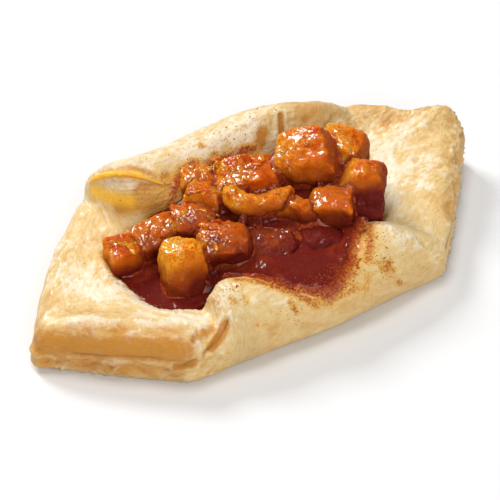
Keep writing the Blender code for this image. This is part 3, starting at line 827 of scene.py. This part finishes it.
def spill_level(points):
    """The share of syrup on the near fold's saddle and down its face: 0 on dry dough and 1 in the pool."""
    x, y, z = points.T
    ragged = 0.9 * wave(points, 5.0, shift=9.0) + 0.8 * wave(points, 1.9, shift=19.0)
    within = y - 0.35 * np.maximum(SADDLE_Z - z, 0.0) - np.interp(x, SPILL_X, SPILL_Y) + ragged
    return np.clip(0.8 + within * (0.28 - 0.15 * step(x, -13.0, -1.0)), 0.0, 1.0)


class OBJECT_OT_danish_crust(bpy.types.Operator):
    """Builds the folded, baked dough with its wrinkles, layers, cracks and stains"""

    bl_idname = "object.danish_crust"
    bl_label = "Crust"

    def execute(self, context):
        crust, filling = context.scene.danish_crust, context.scene.danish_filling
        obj = from_solid("pastry", "baked_crust")
        evened(obj, crust.grid)
        points = places(obj)
        softness = (1 - patches(points, CRISP_PATCHES)) * step(points[:, 2], 0.2, 1.5)
        softened(obj, 34, 0.6, vertex_group=group_of(obj, "soft", softness))

        points, normals = places(obj), facings(obj)
        x, y, z = points.T
        relief = crust_relief(points, normals, crust)
        moved = points + normals * relief["height"][:, None]
        at_tip = np.exp(-((x - THIN_TIP[0]) ** 2 + (y - THIN_TIP[1]) ** 2) / 18.0)
        low = step(z, 0.3, 2.0) * (1 - step(z, 5.0, 8.0))
        moved[:, 0] += at_tip * (0.9 * step(z, 7.0, 11.0) - 2.0 * low)
        moved[:, 2] = np.maximum(moved[:, 2], 0.0)
        move_to(obj, moved)

        browned = np.maximum(0.47 * (1 - step(z, 4.0, 11.0)), 0.4 * step(z, 6.0, 10.0)) * relief["edge"]
        paint(obj, "golden", np.maximum(1.2 * patches(points, GOLDEN_PATCHES), browned))
        for name in ("brown", "lift_and_sheen", "sheet", "mottled"):
            paint(obj, name, relief[name])
        paint(obj, "butter_and_glow", patches(points, BUTTER_PATCHES))
        pallor = patches(points, PALE_PATCHES) - patches(points, YELLOW_PATCHES)
        paint(obj, "pallor", 0.5 + 0.5 * pallor)
        paint_directions(obj, "grain", grain_coordinates(points) * np.array([0.5, 1.0, 1.0]))
        gap = gap_to(surface_of(solids("syrup", *FRUIT_NODES)), points)
        touched = bell(gap, 1.5) * 0.5 * step(normals[:, 2], -0.5, 0.0)
        on_saddle = 1 - step(np.abs(x - SADDLE_X), SADDLE_HALF - 0.5, SADDLE_HALF + 3.0)
        on_saddle *= (1 - step(y, SADDLE_Y, SADDLE_Y + 4.0)) * step(z, SADDLE_Z - 8.0, SADDLE_Z - 5.0)
        level = np.maximum(touched * (1 - on_saddle), spill_level(points) * on_saddle)
        paint(obj, "level", np.maximum(level, patches(points, STAIN_PATCHES) * 0.66))
        dressed(obj, crust_finish(crust, filling), "crust", "pastry")
        return {"FINISHED"}


# The moist inner layer that shows in the slit of the far fold: places and half its thickness, in millimetres.
BUTTER_LINE = (
    ((-30, 30.6, 18.8), 0.3),
    ((-29.6, 30, 20.2), 0.5),
    ((-28.2, 28.4, 21.8), 0.65),
    ((-26.2, 26.5, 22.7), 0.7),
    ((-24.2, 24.8, 22.8), 0.65),
    ((-22.3, 23.4, 22.3), 0.55),
    ((-20.3, 22.3, 21.4), 0.48),
    ((-18.3, 21.2, 20.4), 0.42),
    ((-16.7, 20.1, 19.5), 0.36),
    ((-15.6, 19.2, 18.9), 0.25),
)


class OBJECT_OT_danish_butter(bpy.types.Operator):
    """Lays the moist inner layer along the slit in the far fold"""

    bl_idname = "object.danish_butter"
    bl_label = "Butter layer"

    def execute(self, context):
        crust = context.scene.danish_crust
        bpy.ops.object.select_all(action="DESELECT")
        bpy.ops.curve.primitive_nurbs_path_add(radius=MM)
        obj = context.object
        obj.name = "butter_layer"
        line = obj.data.splines[0]
        line.points.add(len(BUTTER_LINE) - len(line.points))
        for point, (place, radius) in zip(line.points, BUTTER_LINE):
            point.co = (*(value * MM for value in place), 1.0)
            point.radius = radius
        obj.data.bevel_depth = MM
        obj.data.use_fill_caps = True
        bpy.ops.object.convert(target="MESH")
        obj.data.name = "butter_layer"
        evened(obj, crust.butter_grid)
        swell(obj, 0.12 * wave(places(obj), 1.8, shift=91.0))
        # The layer's colour is brightened as painted light, since the slit lies in shade.
        butter_and_glow = Finish("butter_layer")
        cloud = butter_and_glow.noise(500, 3.0, 0.6)
        base = butter_and_glow.mix(cloud.step(0.35, 0.7) * 0.5, crust.butter_and_glow, crust.golden)
        butter_and_glow.surface(
            Base_Color=base,
            Roughness=0.3,
            Subsurface_Weight=0.4,
            Subsurface_Radius=(1.0, 0.6, 0.1),
            Subsurface_Scale=1.5 * MM,
        )
        dressed(obj, butter_and_glow.material, "crust")
        return {"FINISHED"}


# ---------------------------------------------------------------- the syrup


def syrup_finish(filling):
    """Dark, glossy syrup with fine pulp and spice in it, lighter and duller where it is thin."""
    syrup = Finish("spiced_syrup")
    level = syrup.painted("level")
    cloud = syrup.noise(260, 3.0, 0.6)
    pulp = syrup.noise(900, 3.0, 0.6, 0.3)
    dust = syrup.noise(2600, 2.0, 0.6)
    share = level + (cloud - 0.5) * 0.3 * (1 - level) + (pulp - 0.5) * 0.3 * (1.15 - level)
    base = syrup.soaked(share, filling.faint, filling)
    swirl = syrup.noise(110, 3.0, 0.55, 0.8)
    base = syrup.mix(swirl.step(0.48, 0.72) * level.step(0.8, 1.0) * 0.3, base, filling.thin)
    base = syrup.mix((dust + (1 - level) * 0.1).step(0.64, 0.72) * 0.6, base, filling.spice)
    grit = syrup.noise(1900, 3.0, 0.65)
    syrup.bump(pulp * 0.35 + cloud * 0.9 + grit * (1.05 - level) * 0.5, 0.2 * MM, 0.8)
    syrup.surface(
        Base_Color=base,
        Roughness=0.3 - level * 0.23,
        Specular_IOR_Level=0.25,
        Subsurface_Weight=0.2,
        Subsurface_Radius=(1.0, 0.2, 0.06),
        Subsurface_Scale=2.0 * MM,
        IOR=1.45,
    )
    return syrup.material


# Where small bits just under the surface ruffle the syrup.
RIPPLES = (
    (((-11.1, -16.5, 15.5), (-12.2, -16, 15.5)), 1.4, 1),
    (((-5.1, -22.4, 15.9), (-4, -23.4, 15.9)), 1.6, 1),
    (((1.1, -22.9, 15.9), (1.6, -22, 15.9)), 0.9, 1),
    (((9.5, -23.8, 17), (9.8, -21, 16.8)), 1.8, 1),
    (((-2.9, -14.3, 16), (-2, -15, 16)), 1, 1),
)


class OBJECT_OT_danish_syrup(bpy.types.Operator):
    """Builds the pool of spiced syrup, with its menisci and its spill over the near fold"""

    bl_idname = "object.danish_syrup"
    bl_label = "Syrup"

    def execute(self, context):
        filling = context.scene.danish_filling
        obj = from_solid("syrup", "syrup_pool")
        swell(obj, filling.meniscus / MM)
        evened(obj, filling.grid)
        softened(obj, 8)
        points, normals = places(obj), facings(obj)
        height = 0.20 * wave(points, 3.4) + 0.16 * wave(points, 1.5, shift=5.0)
        height += 0.5 * np.abs(wave(points, 1.2, shift=13.0)) * patches(points, RIPPLES)
        points = points + normals * height[:, None]
        ground = height_under(surface_of(solids("pastry")), points)
        depth = points[:, 2] - ground
        on_saddle = (points[:, 1] < SADDLE_Y) & (np.abs(points[:, 0] - SADDLE_X) < SADDLE_HALF) & (depth > 0)
        level = np.where(on_saddle, spill_level(points), 1.0)
        thick = step(level, 0.45, 0.95)
        points[:, 2] = np.where(on_saddle, ground + depth * thick - 0.5 * (1 - thick), points[:, 2])
        move_to(obj, points)
        shore = 1 - 0.3 * (1 - step(depth, 0.2, 1.2))
        paint(obj, "level", np.minimum(level, shore))
        dressed(obj, syrup_finish(filling), "syrup", "syrup")
        return {"FINISHED"}


class OBJECT_OT_danish_sauce(bpy.types.Operator):
    """Fills the creases between the pieces of fruit with sauce"""

    bl_idname = "object.danish_sauce"
    bl_label = "Sauce"

    def execute(self, context):
        filling = context.scene.danish_filling
        points, faces = joined(solids("syrup", *FRUIT_NODES))
        mesh = bpy.data.meshes.new("sauce_web")
        mesh.from_pydata(points, [], faces)
        obj = bpy.data.objects.new("sauce_web", mesh)
        context.scene.collection.objects.link(obj)
        merged(obj)
        reach = filling.web / MM
        swell(obj, reach)
        evened(obj, filling.grid)
        softened(obj, 8)
        points, normals = places(obj), facings(obj)
        filled = surface_of(solids("syrup", *FRUIT_NODES))
        nearest = np.array([tuple(filled.find_nearest(p)[0]) for p in (points * MM).tolist()]) / MM
        away = points - nearest
        away /= np.maximum(np.linalg.norm(away, axis=1), 1e-6)[:, None]
        behind = step(points[:, 1], SADDLE_Y - 3.0, SADDLE_Y)
        crease = ((1 - step((away * normals).sum(axis=1), 0.80, 0.97)) * behind)[:, None]
        # Outside the creases the web hides inside the solids.
        hidden = nearest - away * 0.6
        points = (points - normals * (reach + 0.1)) * crease + hidden * (1 - crease)
        points[:, 2] -= 5.0 * (1 - step(points[:, 1], SADDLE_Y - 3.0, SADDLE_Y))
        move_to(obj, points)
        softened(obj, 3)
        points = places(obj)
        swell(obj, 0.2 * wave(points, 2.2, shift=61.0))
        gap = gap_to(surface_of(solids(*FRUIT_NODES)), points)
        paint(obj, "level", 0.76 + 0.24 * step(gap, 0.2, 1.4))
        dressed(obj, syrup_finish(filling), "syrup")
        return {"FINISHED"}


# ---------------------------------------------------------------- the fruit

# How far each piece in turn runs from coated in syrup to golden flesh, and how far syrup darkens it, which
# also scales the painted shade on its shaded side.
BARENESS = (0.3, 0.65, 0.45, 0.35, 1.1, 0.7, 0.92, 0.45, 0.7, 0.5, 0.58, 0.85, 0.72, 0.45, 0.4, 0.5, 0.4)
SOAKING = (1.0, 0.8, 0.85, 0.95, 0.8, 0.8, 0.95, 0.7, 0.8, 0.8, 0.8, 0.7, 1.2, 0.85, 0.95, 0.65, 0.7)
# How far a piece swells, how far round it the pool counts as beside it, and the least height it has above it.
SWELLING, BESIDE, LEAST_RISE = 0.3, 9.0, 8.0
# To the right in the photo, where the fruit lies in its own shade.
SHADED_SIDE = np.array([0.80, -0.60, 0.0])


def fruit_finish(filling):
    """See-through cooked fruit, gold to syrup red, painted light and shade, wet glints where it stands up."""
    fruit = Finish("cooked_fruit")
    bare_and_lit, soak_and_shade, crown = fruit.painted("bare_and_lit"), fruit.painted("soak_and_shade"), fruit.painted("crown")
    cloud = fruit.noise(230, 3.0, 0.6)
    flesh = fruit.noise(650, 4.0, 0.62, 0.6)
    fibres = fruit.stretched((2.4, 1.0, 1.0), VIEW_AZIMUTH)
    streak = fruit.noise(1900, 3.0, 0.55, 0.6, place=fibres)
    # Lighter towards golden flesh, and where light is painted on lit sides and rims.
    tone = bare_and_lit + (cloud - 0.5) * 2.2 + (flesh - 0.5) * 1.8
    base = fruit.mix(tone.step(-0.1, 0.4), filling.red, filling.amber)
    base = fruit.mix(tone.step(0.3, 0.95), base, filling.gold)
    base = fruit.mix(tone.step(0.7, 1.25) * 0.8, base, filling.honey)
    sauce = (crown * 0.3 + (flesh - 0.5) * 2.2 + (cloud - 0.5) * 2.0 - bare_and_lit * 0.4).step(0.2, 0.75)
    base = fruit.mix(sauce * 0.62, base, filling.red)
    # Darker where syrup soaks the flesh, and where shade is painted on shaded sides and in creases.
    fade = soak_and_shade + (flesh - 0.5) * 0.2 + (cloud - 0.5) * 0.2
    base = fruit.mix(fade.step(0.0, 0.5) * 0.65, base, filling.amber)
    base = fruit.mix(fade.step(0.2, 0.7) * 0.9, base, filling.soaked)
    base = fruit.mix(fade.step(0.5, 0.92), base, filling.deep)
    dust = fruit.noise(2300, 2.0, 0.7)
    base = fruit.mix((dust + crown * 0.04 - soak_and_shade * 0.1).step(0.54, 0.63) * 0.9, base, filling.red)
    pores = fruit.noise(3600, 2.0, 0.6)
    fruit.bump(flesh * 0.8 + streak * (0.5 + crown * 0.8) + pores * 0.3, 0.24 * MM, 0.9)
    spark = fruit.noise(3200, 2.0, 0.6, 0.5, place=fibres)
    cluster = (crown + (cloud - 0.5) * 4.5).step(0.36, 0.88)
    fruit.surface(
        Base_Color=base,
        Roughness=0.36 - crown * 0.1 + soak_and_shade * 0.15,
        Specular_IOR_Level=0.06,
        Coat_Weight=0.01 + spark.step(0.45, 0.52) * cluster,
        Coat_Roughness=0.08,
        Coat_IOR=2.0,
        Subsurface_Weight=0.75,
        Subsurface_Radius=(1.0, 0.3, 0.07),
        Subsurface_Scale=3.2 * MM,
        IOR=1.42,
    )
    return fruit.material


class OBJECT_OT_danish_fruit(bpy.types.Operator):
    """Builds every piece of cooked fruit, softened and crumpled, with painted light and shade"""

    bl_idname = "object.danish_fruit"
    bl_label = "Fruit"

    def execute(self, context):
        filling = context.scene.danish_filling
        material = fruit_finish(filling)
        pool = places(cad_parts["syrup"])
        for number, (node, bare_and_lit, soak) in enumerate(zip(FRUIT_NODES, BARENESS, SOAKING)):
            obj = from_solid(node, node.replace("fruit_chunk", "cooked_fruit"))
            swell(obj, SWELLING)
            evened(obj, filling.fruit_grid)
            softened(obj, 19)
            points, normals = places(obj), facings(obj)
            shift = number * 3.1
            height = 0.7 * wave(points, 5.0, shift=shift) + 0.4 * wave(points, 2.3, shift=shift + 4)
            crumpled = 0.35 + 0.65 * step(normals[:, 2], 0.1, 0.8)
            for depth, size, after in ((0.24, 1.3, 1), (0.18, 0.75, 2), (0.12, 0.45, 3)):
                height += depth * wave(points, size, shift=shift + after) * crumpled
            swell(obj, height)

            rest = surface_of(solids(*(other for other in FRUIT_NODES if other != node)))
            middle, z = points.mean(axis=0), points[:, 2]
            low, high = z.min(), z.max()
            beside = np.linalg.norm(pool[:, :2] - middle[:2], axis=1) < BESIDE
            foot = max(low, pool[beside, 2].max(initial=0.0))
            risen = (z + 1.3 * wave(points, 4.0, shift=shift) - foot) / max(high - foot, LEAST_RISE)
            soak_and_shade = (1 - np.clip(risen, 0, 1) ** 1.15) * soak
            # Painted shade on the sides turned to the right, away from the light; the sides turned to the
            # left get painted light below.
            sideways = normals @ SHADED_SIDE
            shade = 0.55 * step(sideways, 0.15, 0.8) * (0.5 + 0.5 * soak)
            # Painted shade in the creases where pieces touch.
            crease = 0.75 * bell(gap_to(rest, points), 1.5)
            # From left to right across the piece: painted light on its left, painted shade on its right.
            across = (points - middle) @ SHADED_SIDE
            across /= np.abs(across).max()
            # Painted light: thin edges and corners glow golden, as if lit through.
            rim = step(proudness(obj), 0.15, 0.8) * step(z - foot, 0.5, 3.0)
            # Golden flesh, with painted light on the sides turned to the left and on the rims, and painted
            # shade to the right.
            paint(obj, "bare_and_lit", bare_and_lit + 0.25 * step(-sideways, 0.1, 0.8) - 0.3 - 0.3 * across + 0.5 * rim)
            # Darker with soaking, and with painted shade on the shaded side, in the creases and to the right,
            # less on the glowing rims.
            dark = np.maximum(np.maximum(soak_and_shade, shade), crease) + 0.12 * across
            paint(obj, "soak_and_shade", dark * (1 - 0.5 * rim))
            top = step(z, (low + high) / 2, high) * step(z - foot, 1.0, 4.0)
            paint(obj, "crown", step(normals[:, 2], 0.2, 0.85) * top * (0.8 - 0.5 * across))
            dressed(obj, material, "fruit", node)
        return {"FINISHED"}


# Where mashed fruit lies: the middle of a heap, how far it reaches in x and y, and its share of the lumps.
HEAPS = (
    ((-20, 7.5), (5.5, 2.5), 16),
    ((-11.5, 7.5), (4, 3.5), 14),
    ((-1.5, 7), (5.5, 4.5), 26),
    ((-15.5, -3), (4, 3.5), 14),
    ((-5, 15.5), (5, 2.5), 12),
    ((9, -5), (4, 2.5), 8),
    ((-35, 7.5), (3, 3), 7),
    ((9.5, 3), (3, 3), 9),
)
# How many standard deviations a heap reaches out.
HEAP_SPREAD = 1.6
# In front of this, in y, the pool is open.
PULP_FRONT = -9.0


class OBJECT_OT_danish_pulp(bpy.types.Operator):
    """Heaps lumps of mashed fruit on and between the pieces"""

    bl_idname = "object.danish_pulp"
    bl_label = "Pulp"

    def execute(self, context):
        filling = context.scene.danish_filling
        ground = surface_of(solids("syrup", *FRUIT_NODES))
        clusters = [(place, [side / HEAP_SPREAD for side in reach], share) for place, reach, share in HEAPS]

        def land(x, y):
            return (None, None) if y < PULP_FRONT * MM else landing(ground, x, y)

        def size(draw):
            return draw.uniform(0.6, 1.2)

        spans = ((1.0, 2.4), (0.7, 1.2), (0.4, 0.7))
        obj = scattered("fruit_pulp", 2, clusters, filling.lumps, random.Random(5), land, size, spans)
        evened(obj, filling.pulp_grid)
        softened(obj, 4)
        points, normals = places(obj), facings(obj)
        height = 0.3 * wave(points, 1.6, shift=71.0) + 0.22 * wave(points, 0.7, shift=73.0)
        swell(obj, height)
        paint(obj, "bare_and_lit", 0.4 + 0.5 * wave(points, 5.0, shift=77.0))
        paint(obj, "soak_and_shade", 0.15 + 0.8 * wave(points, 4.0, shift=79.0))
        paint(obj, "crown", step(normals[:, 2], 0.1, 0.7))
        dressed(obj, fruit_finish(filling), "fruit")
        return {"FINISHED"}


# ---------------------------------------------------------------- the spice

# Where the spice lies: the middle of a cluster, how far it spreads in x and y, and its share of the grains.
SPICE_CLUSTERS = (
    ((0, -2), (17, 8), 30),
    ((-22, 4), (9, 7), 12),
    ((18, -3), (8, 7), 14),
    ((-4, -31), (7, 2), 9),
    ((13, -25), (4, 3.5), 7),
    ((13, -33), (1.2, 1.8), 5),
    ((-13, -33), (1.6, 1.2), 3),
    ((-24.5, -21), (2.6, 2.2), 4),
    ((2, 22.5), (9, 2.6), 7),
    ((14, 20.5), (2.6, 1.6), 2),
    ((5, -36), (12, 2), 1),
)


def spice_finish(filling):
    """Dull brown powder in two tints."""
    spice = Finish("ground_spice")
    tint = spice.noise(700, 2.0, 0.5)
    base = spice.mix(tint.step(0.35, 0.65), filling.spice, (0.30, 0.08, 0.015))
    spice.bump(spice.noise(5000, 2.0, 0.6), 0.04 * MM, 0.6)
    spice.surface(Base_Color=base, Roughness=0.7 + tint * 0.2, Specular_IOR_Level=0.1)
    return spice.material


class OBJECT_OT_danish_spice(bpy.types.Operator):
    """Scatters ground spice over the filling and the dough round it"""

    bl_idname = "object.danish_spice"
    bl_label = "Spice"

    def execute(self, context):
        filling = context.scene.danish_filling
        ground = surface_of(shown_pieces())

        def land(x, y):
            top, lean = landing(ground, x, y)
            return (None, None) if top is None or lean.z < 0.1 else (top, lean)

        def size(draw):
            return min(0.22, 0.06 + draw.expovariate(24.0))

        spans = ((0.7, 1.6), (0.6, 1.1), (0.3, 0.6))
        draw = random.Random(7)
        obj = scattered("ground_spice", 1, SPICE_CLUSTERS, filling.grains, draw, land, size, spans)
        dressed(obj, spice_finish(filling), "syrup")
        return {"FINISHED"}


# ---------------------------------------------------------------- the stage

# The floor's side, how far the camera sees, and the middle of the danish, in metres.
FLOOR_SIZE, SIGHT = 4.0, 20.0
HEART = Vector((0.0, 0.0, 0.01))


def lamp(name, watts, size, place):
    """A square soft light at a place in metres, turned to the danish."""
    bpy.ops.object.select_all(action="DESELECT")
    bpy.ops.object.light_add(type="AREA", location=place)
    light = bpy.context.object
    light.name = name
    light.data.energy = watts
    light.data.size = size
    light.rotation_euler = (HEART - Vector(place)).to_track_quat("-Z", "Y").to_euler()


class OBJECT_OT_danish_stage(bpy.types.Operator):
    """Sets the pale floor, the soft light and the camera"""

    bl_idname = "object.danish_stage"
    bl_label = "Stage"

    def execute(self, context):
        scene, stage = context.scene, context.scene.danish_stage
        bpy.ops.object.select_all(action="DESELECT")
        bpy.ops.mesh.primitive_plane_add(size=FLOOR_SIZE)
        floor = context.object
        floor.name = "floor"
        paper = Finish("white_paper")
        paper.surface(Base_Color=tuple(stage.floor), Roughness=0.85)
        floor.data.materials.append(paper.material)
        floor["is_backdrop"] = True

        world = bpy.data.worlds.new("soft_room")
        world.use_nodes = True
        sky = world.node_tree.nodes["Background"].inputs
        sky["Color"].default_value = (1.0, 1.0, 1.0, 1.0)
        sky["Strength"].default_value = stage.sky
        scene.world = world
        lamp("key_light", stage.key, 0.35, (-0.08, 0.72, 0.64))
        lamp("top_light", stage.top, 0.40, (-0.05, 0.05, 1.0))
        lamp("front_light", stage.front, 0.80, (-0.30, -0.80, 0.60))

        level = math.cos(VIEW_ELEVATION)
        forward = Vector(
            (-math.sin(VIEW_AZIMUTH) * level, math.cos(VIEW_AZIMUTH) * level, -math.sin(VIEW_ELEVATION))
        )
        bpy.ops.object.camera_add(location=VIEW_AIM - forward * VIEW_DISTANCE)
        camera = context.object
        camera.name = "view"
        camera.rotation_euler = forward.to_track_quat("-Z", "Y").to_euler()
        camera.data.lens = VIEW_LENS
        camera.data.sensor_width = VIEW_SENSOR
        camera.data.clip_end = SIGHT
        scene.camera = camera
        scene.view_settings.view_transform = "Standard"
        return {"FINISHED"}


# ---------------------------------------------------------------- the add-on

SETTINGS = {
    "danish_crust": CrustSettings,
    "danish_filling": FillingSettings,
    "danish_stage": StageSettings,
}
OPERATORS = (
    OBJECT_OT_danish_crust,
    OBJECT_OT_danish_butter,
    OBJECT_OT_danish_syrup,
    OBJECT_OT_danish_sauce,
    OBJECT_OT_danish_fruit,
    OBJECT_OT_danish_pulp,
    OBJECT_OT_danish_spice,
    OBJECT_OT_danish_stage,
)


class VIEW3D_PT_danish(bpy.types.Panel):
    """Lists the pieces of the danish"""

    bl_idname = "VIEW3D_PT_danish"
    bl_label = "Fruit danish"
    bl_space_type = "VIEW_3D"
    bl_region_type = "UI"
    bl_category = "Danish"

    def draw(self, context):
        for operator in OPERATORS:
            self.layout.operator(operator.bl_idname)
        for group in SETTINGS:
            settings = getattr(context.scene, group)
            box = self.layout.box()
            for key in settings.bl_rna.properties.keys():
                if key not in ("rna_type", "name"):
                    box.prop(settings, key)


CLASSES = (*SETTINGS.values(), *OPERATORS, VIEW3D_PT_danish)


def register():
    for cls in CLASSES:
        bpy.utils.register_class(cls)
    for group, kind in SETTINGS.items():
        setattr(bpy.types.Scene, group, bpy.props.PointerProperty(type=kind))


def unregister():
    for group in SETTINGS:
        delattr(bpy.types.Scene, group)
    for cls in reversed(CLASSES):
        bpy.utils.unregister_class(cls)


def main():
    register()
    bpy.ops.object.danish_crust()
    bpy.ops.object.danish_butter()
    bpy.ops.object.danish_syrup()
    bpy.ops.object.danish_sauce()
    bpy.ops.object.danish_fruit()
    bpy.ops.object.danish_pulp()
    bpy.ops.object.danish_spice()
    bpy.ops.object.danish_stage()


if __name__ == "__main__":
    main()
